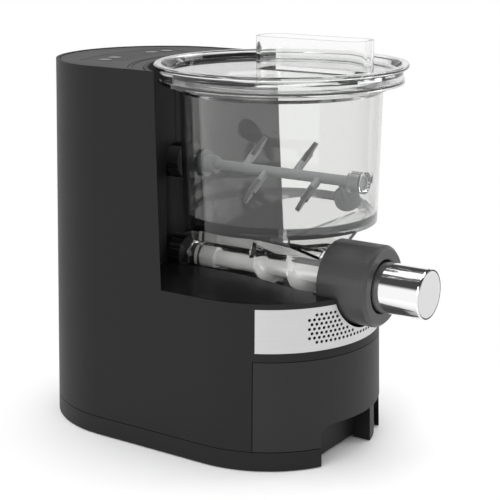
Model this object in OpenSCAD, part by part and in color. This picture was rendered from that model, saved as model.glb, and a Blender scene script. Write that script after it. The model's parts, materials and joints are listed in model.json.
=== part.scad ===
// Electric pasta maker: a clear mixing bowl and extruding barrel in front of a tall drive housing.
// +X is to the right seen from the front, -Y is the front where the pasta comes out, +Z is up.

/* [Housing] */
// Half width of the housing where it meets the table
body_r = 88; // [84:0.5:96]
// Half length of the flat stretch of each side
flat_half = 51.1; // [49:0.1:58]
// Height of the tall rear part
body_h = 287; // [280:1:300]
// Height of the low front part
low_h = 126.9; // [124:0.1:127.5]
// Lean of the side walls, in degrees
side_lean = 1.49; // [1:0.01:2]
// Wall of the housing mouldings
wall = 3; // [2.5:0.1:3.2]
// Radius of the hollow round the bowl
recess_r = 98.3; // [96.5:0.1:100]
// How far the bowl axis lies in front of the middle of the housing
bowl_fwd = 61.5; // [60:0.5:63]
// Thickness of the top cover
cover_t = 3; // [2.5:0.1:3.5]
// Width of the ledge that carries the top cover
ledge_w = 4; // [3:0.5:6]

/* [Base pan and feet] */
// Top edge of the strip round the foot
strip_h = 14.8; // [13:0.1:16]
// Gap of the seams between outer mouldings
seam = 0.5; // [0.3:0.1:0.8]
// Clearance between the strip and the table
strip_lift = 0.8; // [0.5:0.1:1.5]
// Underside of the base floor, the thickness of a foot
foot_h = 3; // [2.5:0.1:4]
// Radius of a foot
foot_r = 9; // [7:0.5:11]
// Thickness of the base floor
floor_t = 3; // [2.5:0.1:4]
// Reach of the arched finger recess to the left of the middle
arch_left = 44.3; // [40:0.1:48]
// Reach of the arched finger recess to the right of the middle
arch_right = 49.5; // [46:0.1:50]
// Top of the arched finger recess
arch_h = 32.5; // [30:0.1:33]
// Radius of the arch's left corner
arch_corner_r = 10; // [6:0.5:14]
// Depth of the finger recess behind the front of the strip
arch_depth = 21; // [18:0.5:24]
// Near side of the block in the finger recess
block_x = 19; // [14:0.5:24]
// Set-back of that block from the front of the strip
block_inset = 4.3; // [3:0.1:6]

/* [Front plate] */
// Lower edge of the front plate
plate_z0 = 90.2; // [89:0.1:91]
// Upper edge of the front plate
plate_z1 = 122.8; // [121:0.1:123]
// Half angle that the front plate spans, in degrees
plate_half_a = 63.6; // [60:0.1:65]
// Thickness of the front plate
plate_t = 1.2; // [0.8:0.1:1.5]
// Radius of an air hole
hole_r = 1.15; // [0.9:0.05:1.3]
// Distance between air holes in a row
hole_pitch = 3.9; // [3.5:0.1:4.2]
// Distance between rows of air holes
row_pitch = 3.4; // [3.1:0.1:3.5]
// Height of the middle row of air holes
hole_mid_z = 107; // [106:0.5:108]
// Half angle that the middle row of air holes spans, in degrees
hole_half_a = 38.6; // [34:0.1:40]

/* [Drawer] */
// Top edge of the drawer front
drawer_z1 = 83.4; // [81:0.1:86]
// Half angle that the drawer front spans, in degrees
drawer_half_a = 64.5; // [62:0.1:66]
// Half width of the drawer tray
tray_half_w = 60; // [50:1:62]
// Length of the drawer tray from the front of the housing
tray_l = 118; // [100:1:122]
// Wall of the drawer tray
tray_wall = 2; // [1.6:0.1:2.5]
// Wall of the drawer bay
bay_wall = 1.6; // [1.2:0.1:2]
// Height of a drawer runner
runner_h = 1; // [0.8:0.1:1.5]
// Height of the drawer tray
tray_h = 38; // [30:1:40]

/* [Bowl] */
// Outer radius of the bowl at the height of the low front
bowl_r = 72.2; // [70:0.1:74]
// Lean of the bowl wall, in degrees
bowl_lean = 1.26; // [0.8:0.01:1.6]
// Wall of the clear mouldings
clear_t = 2.5; // [2:0.1:3]
// Underside of the bowl floor
bowl_floor_z = 172.5; // [171:0.1:174]
// Half width of the hopper's mouth in the bowl floor
hopper_half = 70; // [62:0.5:71]
// Distance of the hopper's front wall in front of the bowl axis
hopper_fwd = 45; // [44:0.5:47]
// How far the top face of the bowl flange lies below the top of the housing
flange_drop = 8.5; // [8:0.1:10]
// Radius of the bowl flange
flange_r = 91; // [88:0.1:92]
// Thickness of the bowl flange
flange_t = 2.6; // [2:0.1:3]
// Radius of the bead under the flange
bead_r = 80.5; // [78:0.1:82]
// Width of the feed opening in the hopper's bottom
feed_w = 20; // [16:0.5:21]
// Length of the feed opening, counted back from the hopper's front wall
feed_l = 60; // [50:1:62]

/* [Lid] */
// Radius of the lid
lid_r = 94; // [92.5:0.1:94.5]
// How far the middle of the lid rim lies above the top of the housing
rim_rise = 1.3; // [1:0.1:2]
// Thickness of the lid rim
lid_rim_t = 3; // [2.5:0.1:3.5]
// Radius where the dished plate of the lid begins
dish_r = 87.4; // [85:0.1:88.5]
// How far the dished plate of the lid lies below the top of the housing
dish_drop = 2; // [1.6:0.1:2.5]
// Length of the feed chute
chute_l = 92; // [80:1:92]
// Width of the feed chute
chute_w = 30; // [24:0.5:34]
// Corner radius of the feed chute
chute_corner_r = 12; // [10:0.5:12]
// How far the feed chute stands above the top of the housing
chute_rise = 22; // [12:0.5:28]
// How far the chute lies in front of the bowl axis
chute_fwd = 28; // [26:0.5:29]

/* [Extruder] */
// Height of the barrel axis
axis_z = 131.9; // [131:0.1:132.2]
// Radius of the barrel collar at the back
collar_r = 13.5; // [12.5:0.1:14]
// Length of the barrel collar
collar_l = 9; // [7:0.5:10]
// Distance of the barrel's back end behind the bowl axis
barrel_back = 78; // [77:0.5:79]
// Radius of the barrel behind its flare
barrel_r0 = 12.5; // [12:0.1:13]
// Radius of the barrel in front of its flare
barrel_r1 = 25; // [24:0.1:25.5]
// Start of the flare behind the bowl axis
flare_back = 31.5; // [28:0.5:34]
// End of the flare in front of the bowl axis
flare_fwd = 33.5; // [30:0.5:36]
// Distance of the nut's back face in front of the bowl axis
nut_fwd = 49.7; // [49:0.1:50.5]
// Length of the retaining nut
nut_len = 40.7; // [38:0.1:42]
// Radius of the retaining nut
nut_r = 30.5; // [29.5:0.1:31]
// Width of the nut's rounded rim
nut_rim = 2.6; // [1.5:0.1:3.2]
// Radius of the nut's front opening
nut_open_r = 20; // [19.6:0.1:21.5]
// Length of the thread that the nut covers
thread_l = 26; // [24:0.5:27]
// Radius of the outlet tube
tube_r = 18.8; // [17.5:0.1:19]
// How far the outlet tube stands out of the nut
tube_out = 36.9; // [32:0.1:40]
// Wall of the outlet tube
tube_t = 2; // [1.5:0.1:2.5]
// Radius of a pasta hole
pasta_r = 1.5; // [1:0.1:1.6]
// Distance between pasta holes
pasta_pitch = 4.2; // [3.8:0.1:4.6]

/* [Drive] */
// Module of the large gears
gear_m = 1.5; // [1.5:0.05:1.52]
// Module of the motor gears
fine_m = 1; // [1:0.02:1.04]
// Width of the large gears
gear_w = 10; // [8:0.5:11]
// Width of the motor gears
fine_w = 6; // [5:0.5:7]
// Radius of the drive shafts
shaft_r = 5; // [4.5:0.1:5.5]
// Radius of the motor shaft
motor_shaft_r = 3; // [2.5:0.1:3.2]
// Radius of the motor can
motor_r = 29; // [26:0.5:30]
// Length of the motor can
motor_l = 50; // [44:1:52]
// Radius of the cooling fan
fan_r = 25; // [20:0.5:26]
// Radius of the paddle's sweep
paddle_r = 36; // [30:0.5:36.5]
// Running clearance of shafts in bushes
run = 0.06; // [0.03:0.01:0.1]
// Clearance between parts that slide apart
slip = 0.3; // [0.2:0.05:0.4]

/* [Controls] */
// Inner radius of the control panel round the bowl axis
panel_r0 = 124; // [120:0.5:126]
// Depth of the control panel from front to back
panel_d = 34; // [30:0.5:36]
// Half angle that the control panel spans, in degrees
panel_half_a = 19.5; // [18:0.5:20]
// Thickness of the control panel
panel_t = 1.5; // [1:0.1:1.8]
// Radius of a push-button
button_r = 5.5; // [4.5:0.1:6]
// Travel of a push-button
button_travel = 1; // [0.6:0.1:1.2]
// Width of the display lens
lens_w = 22; // [18:0.5:24]
// Depth of the display lens
lens_d = 13; // [10:0.5:15]

/* [Hidden] */
$fn = 96;
eps = 0.02;
fine_fn = 32;
nose_reach = bowl_fwd + nut_fwd + nut_len + tube_out;
mid_y = (nose_reach - flat_half - body_r) / 2;
front_c = mid_y - flat_half;
rear_c = mid_y + flat_half;
front_y = front_c - body_r;
bowl_y = mid_y - bowl_fwd;
wall_y = bowl_y + recess_r;
nut_y = bowl_y - nut_fwd;
nose_y = nut_y - nut_len;
tube_end_y = nose_y - tube_out;
arch_y = front_y + arch_depth;
floor_z = foot_h;
floor_top = floor_z + floor_t;
far = 400;

// heights and reaches of the barrel, bowl and lid
flange_z = body_h - flange_drop;
lid_rim_z = body_h + rim_rise;
dish_z = body_h - dish_drop;
chute_z = body_h + chute_rise;
barrel_r_back = barrel_r0 - 1.7;
barrel_bore_r0 = barrel_r0 - clear_t;
barrel_bore_r1 = barrel_r1 - clear_t;
barrel_bore_back = barrel_r_back - clear_t;
thread_r = barrel_r1 + 1.5;
barrel_front = nut_fwd + thread_l;
trough_gap = 2;
bowl_floor_top = bowl_floor_z + clear_t;
hopper_y = bowl_y - hopper_fwd;
hopper_z = axis_z + collar_r + 1.5;
cradle_y = bowl_y - (flare_fwd + nut_fwd - trough_gap) / 2;
spigot_h = 9;
lid_gap = 0.3;
lid_skirt_t = 2.4;
chute_y = bowl_y - chute_fwd;

// gear train, seen from the front: auger gear, paddle gear above it, idler below it, motor pinion
auger_teeth = 64;
paddle_teeth = 36;
idler_small_teeth = 14;
idler_big_teeth = 60;
pinion_teeth = 12;
backlash = 0.3;
tooth_step = 360 / auger_teeth;
idler_a = 53 * tooth_step;
pinion_a = 220;
paddle_z = axis_z + gear_m * (auger_teeth + paddle_teeth) / 2;
idler_d = gear_m * (auger_teeth + idler_small_teeth) / 2;
idler_x = idler_d * cos(idler_a);
idler_z = axis_z + idler_d * sin(idler_a);
pinion_d = fine_m * (idler_big_teeth + pinion_teeth) / 2;
motor_x = idler_x + pinion_d * cos(pinion_a);
motor_z = idler_z + pinion_d * sin(pinion_a);
gland_r = 5.5;
gland_bore_r = 3.6;
gland_z = motor_z - fan_r - gland_r - 0.7;

// depths of the drive, counted back from the hollow's wall on the centre line
box_y0 = wall_y + wall + 2.2;
box_wall = 3;
gear_y = box_y0 + box_wall + 2;
fine_y = gear_y + gear_w + 1.5;
box_y1 = fine_y + fine_w + 2;
box_cover_t = 3;
motor_y0 = box_y1 + box_cover_t;
motor_y1 = motor_y0 + motor_l;
fan_y = motor_y1 + 3;
fan_w = 8;
hub_l = 12;
hub_r = 14;
bush_r = shaft_r + 2.5;
bush_flange_r = bush_r + 1.5;
hex_r = shaft_r - 0.4;
gear_rim = 4;
box_gap = 3;

// control deck
cover_z = body_h - 0.4;
board_z = cover_z - 12;
board_t = 1.6;
button_a = [-16, -9.5, 9.5, 16];
panel_r1 = panel_r0 + panel_d;
button_band = (panel_r0 + panel_r1) / 2;
button_flange = 1.1;
boss_r = 4;

// drawer
bay_z0 = arch_h + seam;
runner_z = bay_z0 + bay_wall;
tray_z0 = runner_z + runner_h + 0.1;
tray_z1 = tray_z0 + tray_h;
bay_z1 = tray_z1 + 0.8;
bay_half_w = tray_half_w + 1;
tray_back_y = front_y + tray_l;
bay_back_y = tray_back_y + 2;

// ---- shared shapes ----

function wall_r(z) = body_r - z * tan(side_lean);
function bowl_or(z) = bowl_r + (z - low_h) * tan(bowl_lean);
function inv(a) = tan(a) - a * PI / 180;

// The housing's outer form: two leaning half rounds with a flat-sided middle, drawn in by inset
module drafted(inset, z0, z1) {
    r0 = wall_r(z0) - inset;
    r1 = wall_r(z1) - inset;
    side = [[0, z0], [r0, z0], [r1, z1], [0, z1]];
    translate([0, rear_c, 0]) rotate_extrude(angle = 180) polygon(side);
    translate([0, front_c, 0]) rotate([0, 0, 180]) rotate_extrude(angle = 180) polygon(side);
    translate([0, rear_c, 0]) rotate([90, 0, 0]) linear_extrude(2 * flat_half)
        polygon([[-r0, z0], [r0, z0], [r1, z1], [-r1, z1]]);
}

// A round rod along Y from y0 back to y1
module rod(y0, y1, r, x = 0, z = axis_z, sides = 0) {
    translate([x, y1, z]) rotate([90, 0, 0]) cylinder(r = r, h = y1 - y0, $fn = sides > 0 ? sides : $fn);
}

// A turned shape round an axis along Y; each point is [radius, distance in front of the bowl axis]
module spun(points, z = axis_z) {
    translate([0, bowl_y, z]) rotate([90, 0, 0]) rotate_extrude() polygon(points);
}

// A flat shape drawn in X and Z, standing from y0 back to y1
module upright(y0, y1) {
    translate([0, y1, 0]) rotate([90, 0, 0]) linear_extrude(y1 - y0) children();
}

// A wedge in plan with its point at the centre of an end round, opening towards dir (-1 front, 1 rear)
module wedge(half_a, z0, z1, dir = -1) {
    cy = dir < 0 ? front_c : rear_c;
    s = sin(half_a) * far;
    c = cos(half_a) * far * dir;
    translate([0, cy, z0]) linear_extrude(z1 - z0)
        polygon([[0, 0], [-s, c], [-far, dir * far], [far, dir * far], [s, c]]);
}

// A rounded rectangle centred on the origin
module rounded(w, l, r) {
    square([w - 2 * r, l], center = true);
    square([w, l - 2 * r], center = true);
    for (x = [-1, 1], y = [-1, 1]) translate([x * (w / 2 - r), y * (l / 2 - r)]) circle(r);
}

// Room for the barrel and nut in the low front, grown by inset
module trough(inset) {
    g = trough_gap + inset;
    spun([
        [0, -recess_r - wall - 1 - inset], [collar_r + g, -recess_r - wall - 1 - inset],
        [collar_r + g, -flare_back + 10], [barrel_r1 + g, flare_fwd],
        [barrel_r1 + g, nut_fwd - g], [nut_r + g, nut_fwd - g],
        [nut_r + g, nose_reach], [0, nose_reach]
    ]);
}

// The housing from z0 up: tall behind, low in front, hollowed round the bowl
module form(inset, z0, z1) {
    difference() {
        drafted(inset, z0, z1);
        translate([0, bowl_y, low_h - inset]) cylinder(r = recess_r + inset, h = far);
        intersection() {
            trough(inset);
            translate([-far / 2, -far, axis_z - far / 2]) cube([far, far + wall_y + inset - 1, far]);
        }
    }
}

// The arch of the finger recess, drawn in X and Z
module arch_outline() {
    end_r = 2;
    translate([-arch_left, 0]) square([arch_left + arch_right, arch_h - arch_corner_r]);
    translate([arch_corner_r - arch_left, 0])
        square([arch_left + arch_right - arch_corner_r - end_r, arch_h]);
    square([arch_right, arch_h - end_r]);
    translate([arch_corner_r - arch_left, arch_h - arch_corner_r]) circle(arch_corner_r);
    translate([arch_right - end_r, arch_h - end_r]) circle(end_r);
}

// Points of a gear with module m, starting with a tooth on +X
function gear_points(teeth, m) =
    let (
        rp = m * teeth / 2,
        rb = rp * cos(20),
        ra = rp + 0.85 * m,
        rf = rp - 1.2 * m,
        half = ((PI * m / 2 - backlash) / 2 / rp + inv(20)) * 180 / PI,
        at_tip = half - inv(acos(rb / ra)) * 180 / PI,
        at_pitch = half - inv(20) * 180 / PI
    )
    [for (t = [0 : teeth - 1]) for (q = [
        [rf, -half], [rp, -at_pitch], [ra, -at_tip], [ra, at_tip], [rp, at_pitch], [rf, half]
    ]) [q[0] * cos(q[1] + t * 360 / teeth), q[0] * sin(q[1] + t * 360 / teeth)]];

// A spur gear that stands from y0 backwards, with a bore
module gear(teeth, m, w, y0, x, z, turn, bore_r) {
    translate([x, y0 + w, z]) rotate([90, 0, 0]) linear_extrude(w) difference() {
        rotate(turn) polygon(gear_points(teeth, m));
        circle(bore_r);
    }
}

// Places its children on the control deck, at angle a round the bowl axis
module on_deck(a, z) {
    translate([0, bowl_y, z]) rotate([0, 0, -a]) translate([0, button_band, 0]) children();
}

// A flat ring sector round the bowl axis, on the centre line behind it
module deck_band(r0, r1, half_a, z0, z1) {
    difference() {
        intersection() {
            translate([0, bowl_y, z0]) cylinder(r = r1, h = z1 - z0);
            translate([0, bowl_y, z0]) linear_extrude(z1 - z0)
                polygon([[0, 0], [-sin(half_a) * far, cos(half_a) * far], [sin(half_a) * far, cos(half_a) * far]]);
        }
        translate([0, bowl_y, z0 - 1]) cylinder(r = r0, h = z1 - z0 + 2);
    }
}

// ---- housing ----

fan_x = 55;
fan_z = 104;
fan_frame = 32;
post_x = 38;
post_dz = 34;
post_l = 13.4;
vent_half_a = 28;
vent_z0 = 42;
vent_z1 = 112;
vent_slot_w = 60;
switch_z = cover_z - cover_t - 2.4;
plunger_r = 1.5;
switch_w = 18;
switch_h = 8;
switch_d = 12;
pin_y0 = bowl_y + dish_r + lid_skirt_t + 0.4;
pin_bore_y1 = wall_y + wall + 9;

module housing_shell() {
    ledge_z = cover_z - cover_t;
    color([0.16, 0.16, 0.17]) difference() {
        union() {
            difference() {
                form(0, strip_h + seam, body_h);
                form(wall, strip_h, body_h + 1);
            }
            // ledge under the top cover
            difference() {
                form(wall - 0.2, ledge_z - 3, ledge_z);
                form(wall + ledge_w, ledge_z - 4, ledge_z + 1);
            }
            // hubs round the two drive shafts
            rod(wall_y - hub_l, wall_y + wall - 0.6, hub_r);
            rod(wall_y - hub_l, wall_y + wall - 0.6, hub_r, z = paddle_z);
            // cradle that the barrel rests in
            intersection() {
                difference() {
                    rod(cradle_y - 3, cradle_y + 3, barrel_r1 + trough_gap + 1.5);
                    rod(cradle_y - 4, cradle_y + 4, barrel_r1 + slip);
                }
                translate([-far / 2, cradle_y - far / 2, axis_z - 12 - far]) cube(far);
            }
            // posts and webs that carry the gearbox
            for (x = [-1, 1]) {
                rod(box_y0 - post_l, box_y0, boss_r, x = x * post_x, z = axis_z + post_dz);
                translate([x * post_x - boss_r, box_y0 - post_l, axis_z - post_dz - boss_r])
                    cube([2 * boss_r, post_l, low_h - 1 - axis_z + post_dz + boss_r]);
            }
        }
        // bores for the shaft bushes
        rod(wall_y - hub_l - 1, wall_y + wall + 1, bush_r);
        rod(wall_y - hub_l - 1, wall_y + wall + 1, bush_r, z = paddle_z);
        // drawer opening
        intersection() {
            wedge(drawer_half_a + 0.35, strip_h - 1, drawer_z1 + seam);
            translate([-far, -far, 0]) cube([2 * far, far + front_c, far]);
        }
        // seat of the front plate, and the window behind its holes
        difference() {
            wedge(plate_half_a + 0.2, plate_z0 - 0.15, plate_z1 + 0.15);
            drafted(plate_t + 0.3, plate_z0 - 1, plate_z1 + 1);
        }
        wedge(hole_half_a + 2, hole_mid_z - 3 * row_pitch - 2, hole_mid_z + 3 * row_pitch + 2);
        // seat of the rear vent
        wedge(vent_half_a, vent_z0, vent_z1, dir = 1);
        // cord gland and lid switch
        rod(rear_c, rear_c + body_r + 1, gland_r, z = gland_z);
        rod(wall_y - 1, wall_y + wall + 1, plunger_r + slip, z = switch_z);
        translate([-switch_w / 2 - 0.5, wall_y + wall + slip / 2, switch_z - switch_h])
            cube([switch_w + 1, ledge_w + 1, far]);
    }
}

module top_cover() {
    groove_z = cover_z - 0.6;
    color([0.2, 0.2, 0.21]) difference() {
        form(wall + slip, cover_z - cover_t, cover_z);
        // two fine grooves round the hollow
        for (r = [recess_r + wall + 8, recess_r + wall + 11]) difference() {
            translate([0, bowl_y, groove_z]) cylinder(r = r + 1, h = 1);
            translate([0, bowl_y, groove_z - 1]) cylinder(r = r, h = 3);
        }
        // seat of the control panel, and holes under the buttons and lens
        deck_band(panel_r0 - 0.2, panel_r1 + 0.2, panel_half_a + 0.08, cover_z - panel_t - 0.1, cover_z + 1);
        for (a = button_a) on_deck(a, cover_z - cover_t - 1) cylinder(r = button_r + 1.8, h = cover_t + 2);
        on_deck(0, cover_z) cube([lens_w - 2, lens_d - 2, 4 * cover_t], center = true);
    }
}

module control_panel() {
    color([0.05, 0.05, 0.06]) difference() {
        deck_band(panel_r0, panel_r1, panel_half_a, cover_z - panel_t - 0.1, cover_z - 0.1);
        for (a = button_a) on_deck(a, cover_z - 5) cylinder(r = button_r + 0.2, h = 10);
        on_deck(0, cover_z) cube([lens_w + 0.2, lens_d + 0.2, 10], center = true);
    }
}

module display_lens() {
    color([0.1, 0.12, 0.14]) on_deck(0, cover_z - 0.1 - panel_t / 2)
        cube([lens_w, lens_d, panel_t], center = true);
}

// A push-button: flush cap, a flange that keeps it in, and a stem over its switch
module button(a) {
    flange_top = cover_z - panel_t - 0.1 - 0.15;
    color([0.75, 0.75, 0.76]) {
        on_deck(a, flange_top - eps) cylinder(r = button_r, h = cover_z + 0.1 - flange_top + eps);
        on_deck(a, flange_top - button_flange) cylinder(r = button_r + 1, h = button_flange);
        on_deck(a, board_z + 3 + button_travel + 0.3)
            cylinder(r = 2, h = flange_top - button_flange + eps - board_z - 3 - button_travel - 0.3);
    }
}

module power_button() { button(button_a[0]); }
module program_button() { button(button_a[1]); }
module flour_button() { button(button_a[2]); }
module start_button() { button(button_a[3]); }

module control_board() {
    color([0.1, 0.35, 0.15]) {
        deck_band(panel_r0 + 6, panel_r1 - 6, panel_half_a, board_z - board_t, board_z);
        for (a = button_a) on_deck(a, board_z + 1.5 - eps) cube([6, 6, 3], center = true);
        on_deck(0, board_z + 3 - eps) cube([lens_w - 4, lens_d - 4, 6], center = true);
        // posts up to the cover
        for (a = [-12.7, 12.7]) on_deck(a, board_z - eps)
            translate([0, -7, 0]) cylinder(r = 2, h = cover_z - cover_t - board_z + eps);
    }
}

module lid_switch() {
    // microswitch behind the hollow's wall
    color([0.15, 0.15, 0.3]) difference() {
        translate([-switch_w / 2, wall_y + wall + slip, cover_z - cover_t - switch_h])
            cube([switch_w, switch_d, switch_h]);
        rod(wall_y, pin_bore_y1, plunger_r + run, z = switch_z);
    }
}

module lid_switch_plunger() {
    // sprung pin that the lid's skirt pushes in
    color([0.8, 0.8, 0.78]) rod(pin_y0, pin_bore_y1 - 2.5, plunger_r, z = switch_z);
}

module front_plate() {
    rows = [-3 : 3];
    arc_r = wall_r(hole_mid_z);
    step = hole_pitch / arc_r * 180 / PI;
    end_a = hole_half_a - 3 * row_pitch / arc_r * 180 / PI;
    color([0.78, 0.78, 0.78]) difference() {
        intersection() {
            difference() {
                drafted(0.2, plate_z0, plate_z1);
                drafted(0.2 + plate_t, plate_z0 - 1, plate_z1 + 1);
            }
            wedge(plate_half_a, plate_z0, plate_z1);
        }
        rod(tube_end_y, front_c, nut_r + trough_gap + 0.2);
        for (row = rows) {
            z = hole_mid_z + row * row_pitch;
            ends = end_a + sqrt(9.6 - row * row) * row_pitch / arc_r * 180 / PI;
            shift = row % 2 == 0 ? 0 : 0.5;
            for (k = [-14 : 14]) {
                a = (k + shift) * step;
                x = sin(a) * arc_r;
                keep = norm([x, z - axis_z]) > nut_r + trough_gap + 1.6;
                if (abs(a) <= ends && keep) translate([0, front_c, z]) rotate([0, 0, a])
                    rotate([90, 0, 0]) translate([0, 0, arc_r - 4]) cylinder(r = hole_r, h = 8, $fn = 16);
            }
        }
    }
}

module rear_vent() {
    slot_h = 3;
    slot_step = 7;
    color([0.14, 0.14, 0.15]) difference() {
        intersection() {
            difference() {
                drafted(0.4, vent_z0 + slip, vent_z1 - slip);
                drafted(wall, vent_z0 - 1, vent_z1 + 1);
            }
            wedge(vent_half_a - 0.2, vent_z0 + slip, vent_z1 - slip, dir = 1);
        }
        for (z = [vent_z0 + 6 : slot_step : vent_z1 - 6]) translate([0, rear_c + body_r / 2, z])
            cube([vent_slot_w, 2 * body_r, slot_h], center = true);
    }
}

module base_pan() {
    recess_wall = 2.4;
    block_end = 2;
    color([0.13, 0.13, 0.14]) {
        difference() {
            union() {
                difference() {
                    drafted(0, strip_lift, strip_h);
                    drafted(wall, strip_lift - 1, strip_h + 1);
                }
                drafted(wall - 0.1, floor_z, floor_top);
                // lip that centres the housing
                difference() {
                    drafted(wall + 0.15, floor_top - 0.1, strip_h + 3);
                    drafted(wall + 2, floor_z, strip_h + 4);
                }
                // wall behind the finger recess
                intersection() {
                    drafted(wall + 0.6, floor_z, arch_h);
                    translate([-arch_left - 2, arch_y, floor_z])
                        cube([arch_left + 2 + body_r, recess_wall, arch_h - floor_z]);
                }
            }
            // finger recess, open below, and holes for the foot screws
            translate([-arch_left, front_y - 10, -1])
                cube([arch_left + arch_right, arch_y - front_y + 10, far]);
            for (p = foot_xy) translate([p[0], p[1], 0]) cylinder(r = foot_screw_r + run, h = floor_top + 1);
        }
        // block that fills the far side of the recess
        intersection() {
            drafted(block_inset, strip_lift, arch_h);
            translate([block_x, front_y, strip_lift])
                cube([arch_right - block_end - block_x, arch_y - front_y + 0.1, arch_h - strip_lift]);
        }
        // ribs that carry the drawer bay
        for (x = [-1, 1]) translate([x * (bay_half_w - 14) - 1.5, arch_y + 12, floor_top - 0.1])
            cube([3, bay_back_y - arch_y - 16, bay_z0 - floor_top + 0.1]);
        // posts under the power board
        for (x = [-1, 1], y = [0, 1]) translate([x * 34, bay_back_y + 10 + y * 40, floor_top - 0.1])
            cylinder(r = 3, h = board_post_h + 0.1);
        // bosses for the foot screws
        for (p = foot_xy) translate([p[0], p[1], floor_top - 0.1]) difference() {
            cylinder(r = foot_boss_r, h = 5.1);
            translate([0, 0, -1]) cylinder(r = foot_screw_r + run, h = 5.5);
        }
    }
}

board_post_h = 6;

foot_xy = [for (x = [-1, 1], y = [-1, 1]) [x * 52, mid_y + y * 78]];

foot_screw_r = 1.5;
foot_screw_l = 8;
foot_boss_r = 4;

module rubber_feet() {
    color([0.08, 0.08, 0.08]) for (p = foot_xy) translate([p[0], p[1], 0]) difference() {
        cylinder(r = foot_r, h = foot_h);
        translate([0, 0, -1]) cylinder(r = 3.4, h = foot_h / 2 + 1);
        translate([0, 0, -1]) cylinder(r = foot_screw_r + run, h = foot_h + 2, $fn = fine_fn);
    }
}

module base_screws() {
    // one up through each foot
    color([0.6, 0.6, 0.62]) for (p = foot_xy) translate([p[0], p[1], 0]) {
        translate([0, 0, 0.3]) cylinder(r = 3, h = foot_h / 2 - 0.3, $fn = fine_fn);
        translate([0, 0, foot_h / 2 - eps]) cylinder(r = foot_screw_r, h = foot_screw_l, $fn = fine_fn);
    }
}

module cord_gland() {
    // bush for the mains lead, with its flange inside the wall
    y1 = rear_c + wall_r(gland_z + gland_r) - 0.2;
    color([0.1, 0.1, 0.1]) difference() {
        union() {
            rod(y1 - wall - 8, y1, gland_r - 0.15, z = gland_z);
            rod(y1 - wall - 3.4, y1 - wall - 0.6, gland_r + 2, z = gland_z);
        }
        rod(y1 - wall - 9, y1 + 1, gland_bore_r, z = gland_z);
    }
}

module power_board() {
    z0 = floor_top + board_post_h;
    y0 = bay_back_y + 4;
    color([0.12, 0.4, 0.2]) {
        translate([-40, y0, z0]) cube([80, 52, board_t]);
        translate([-32, y0 + 10, z0 + board_t - eps]) cube([24, 20, 16]);
        translate([6, y0 + 14, z0 + board_t - eps]) cylinder(r = 8, h = 22);
        translate([24, y0 + 30, z0 + board_t - eps]) cube([12, 16, 12]);
    }
}

// ---- drawer ----

module drawer_bay() {
    color([0.2, 0.2, 0.21]) difference() {
        intersection() {
            translate([-bay_half_w - bay_wall, -far + bay_back_y + bay_wall, bay_z0])
                cube([2 * (bay_half_w + bay_wall), far, bay_z1 - bay_z0 + bay_wall]);
            drafted(wall + 0.6, bay_z0 - 1, bay_z1 + bay_wall + 1);
        }
        translate([-bay_half_w, -far + bay_back_y, runner_z])
            cube([2 * bay_half_w, far, bay_z1 - runner_z]);
    }
}

module drawer_runners() {
    color([0.85, 0.85, 0.82]) for (x = [-1, 1])
        translate([x * (bay_half_w - 8) - 3, front_y + 50, runner_z]) cube([6, tray_l - 50, runner_h]);
}

module drawer_front() {
    color([0.15, 0.15, 0.16]) difference() {
        intersection() {
            difference() {
                drafted(0, strip_h + seam, drawer_z1);
                drafted(wall, strip_h - 1, drawer_z1 + 1);
            }
            wedge(drawer_half_a, strip_h, drawer_z1);
        }
        upright(front_y - 5, front_c) arch_outline();
    }
}

module drawer_tray() {
    color([0.75, 0.76, 0.78]) difference() {
        intersection() {
            translate([-tray_half_w, tray_back_y - far, tray_z0]) cube([2 * tray_half_w, far, tray_h]);
            drafted(wall + 0.1, tray_z0 - 1, tray_z1 + 1);
        }
        intersection() {
            translate([-tray_half_w + tray_wall, tray_back_y - far - tray_wall, tray_z0 + tray_wall])
                cube([2 * (tray_half_w - tray_wall), far, far]);
            drafted(wall + tray_wall, tray_z0 - 1, tray_z1 + 2);
        }
    }
}

// ---- drying fans behind the front plate ----

fan_y1 = front_c - sqrt(pow(body_r, 2) - pow(fan_x + fan_frame / 2, 2)) + 25;
fan_depth = 12;
fan_pin_r = 1.5;

module fan_frame_at(x) {
    difference() {
        translate([x - fan_frame / 2, fan_y1 - fan_depth, fan_z - fan_frame / 2])
            cube([fan_frame, fan_depth, fan_frame]);
        rod(fan_y1 - fan_depth - 1, fan_y1 - 1.5, fan_frame / 2 - 1.2, x = x, z = fan_z);
        difference() {
            rod(fan_y1 - 3, fan_y1 + 1, fan_frame / 2 - 3, x = x, z = fan_z);
            rod(fan_y1 - 4, fan_y1 + 2, 5, x = x, z = fan_z);
            translate([x, fan_y1, fan_z]) cube([fan_frame, 8, 2], center = true);
            translate([x, fan_y1, fan_z]) cube([2, 8, fan_frame], center = true);
        }
    }
    // axle pin, and foot down to the drawer bay
    rod(fan_y1 - fan_depth + 3, fan_y1 - 0.5, fan_pin_r, x = x, z = fan_z);
    translate([x - 6, fan_y1 - fan_depth + 1, bay_z1 + bay_wall])
        cube([12, fan_depth - 2, fan_z - fan_frame / 2 - bay_z1 - bay_wall + eps]);
}

module drying_fan_frames() {
    color([0.18, 0.18, 0.19]) for (x = [-1, 1]) fan_frame_at(x * fan_x);
}

module drying_fan(x) {
    color([0.22, 0.22, 0.23]) {
        difference() {
            rod(fan_y1 - fan_depth + 1.5, fan_y1 - 1.8, 5, x = x, z = fan_z);
            rod(fan_y1 - fan_depth + 2.7, fan_y1, fan_pin_r + run, x = x, z = fan_z);
        }
        for (k = [0 : 6]) translate([x, fan_y1 - fan_depth / 2, fan_z]) rotate([0, k * 360 / 7, 0])
            translate([0, 0, 9]) rotate([0, 0, 35]) cube([1.2, 6, 9], center = true);
    }
}

module drying_fan_left() { drying_fan(-fan_x); }
module drying_fan_right() { drying_fan(fan_x); }

// ---- gearbox ----

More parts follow.
